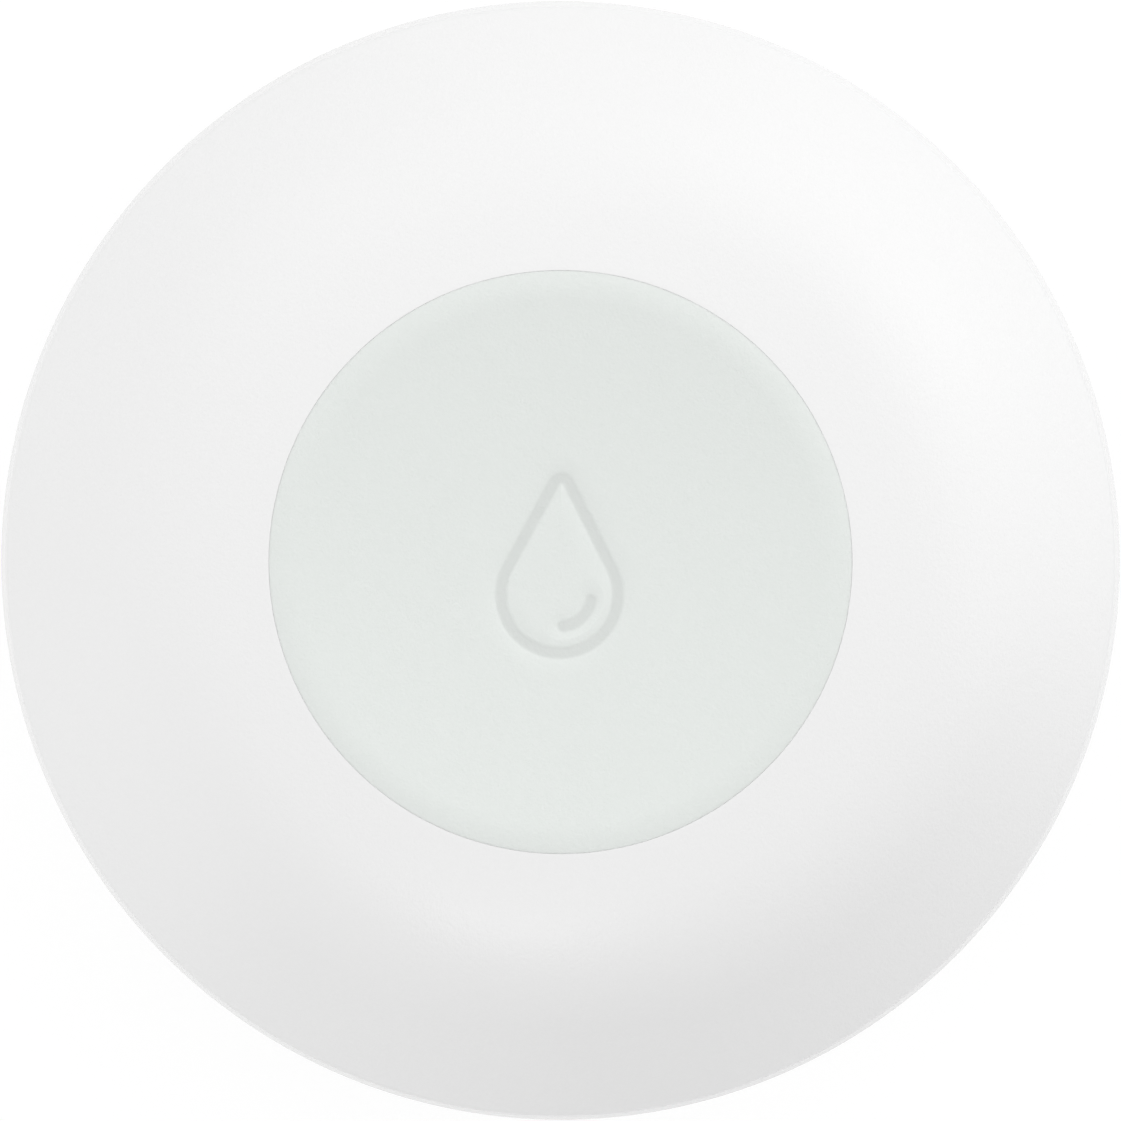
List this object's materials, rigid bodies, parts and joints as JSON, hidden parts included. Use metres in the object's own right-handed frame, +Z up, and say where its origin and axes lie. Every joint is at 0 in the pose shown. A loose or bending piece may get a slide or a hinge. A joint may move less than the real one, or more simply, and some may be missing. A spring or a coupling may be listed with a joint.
{
  "type": "water leak alarm",
  "caption": "Round floor-standing water-leak alarm: bevelled white casing, dished pale green push button with a drop outline, metal probe feet.",
  "frame": {"origin": "on the floor, under the centre of the round casing", "axes": "+Z up through the button; +Y towards the point of the drop on the button; +X towards the sounder"},
  "size_m": [0.065, 0.065, 0.0231],
  "materials": {
    "shell_plastic": "fine matt texture",
    "base_plastic": "fine matt texture",
    "cap_silicone": "satin, pale sage green",
    "plate_plastic": "frosted natural",
    "seal_foam": "soft closed-cell foam",
    "seal_silicone": "satin",
    "probe_steel": "turned stainless steel",
    "spring_steel": "plain spring steel",
    "screw_steel": "zinc plated",
    "membrane_film": "thin white film",
    "board_laminate": "green solder mask",
    "holder_plastic": "black",
    "cell_jacket": "printed foil, no words",
    "contact_nickel": "nickel plated",
    "sounder_plastic": "black",
    "diaphragm_brass": "plain",
    "switch_plastic": "black",
    "plunger_plastic": "cream",
    "lamp_lens": "milky",
    "chip_resin": "moulded resin",
    "capacitor_resin": "moulded resin",
    "shield_tin": "tinned",
    "antenna_ceramic": "ceramic"
  },
  "bodies": {
    "base": {"base_plate": "base_plastic", "perimeter_seal": "seal_silicone", "base_screws": "screw_steel", "probe_feet": "probe_steel", "probe_gaskets": "seal_silicone", "probe_washers": "spring_steel", "sound_membrane": "membrane_film"},
    "housing": {"top_shell": "shell_plastic", "circuit_board": "board_laminate", "board_screws": "screw_steel", "battery_holder": "holder_plastic", "battery_left": "cell_jacket", "battery_right": "cell_jacket", "battery_link": "contact_nickel", "positive_contact": "contact_nickel", "negative_contact": "contact_nickel", "probe_springs": "spring_steel", "sounder_case": "sounder_plastic", "sounder_gasket": "seal_foam", "sounder_diaphragm": "diaphragm_brass", "test_switch_body": "switch_plastic", "status_lamp": "lamp_lens", "radio_shield": "shield_tin", "controller_chip": "chip_resin", "capacitors": "capacitor_resin", "antenna": "antenna_ceramic", "button_seal": "seal_foam"},
    "test_button": {"button_cap": "cap_silicone", "button_plate": "plate_plastic"},
    "switch_plunger": {"test_switch_plunger": "plunger_plastic"}
  },
  "joints": [
    {"name": "housing_lift", "type": "slide", "parent": "base", "child": "housing", "axis": [0, 0, 1], "range_m": [0, 0.03]},
    {"name": "button_press", "type": "slide", "parent": "housing", "child": "test_button", "axis": [0, 0, -1], "range_m": [0, 0.0005], "stiffness_N_per_m": 2000, "springref_m": -0.0004, "deforming": ["button_seal"]},
    {"name": "plunger_press", "type": "slide", "parent": "housing", "child": "switch_plunger", "axis": [0, 0, -1], "range_m": [0, 0.0005]}
  ],
  "couplings": [
    {"joint": "plunger_press", "follows": "button_press", "ratio": 1}
  ]
}
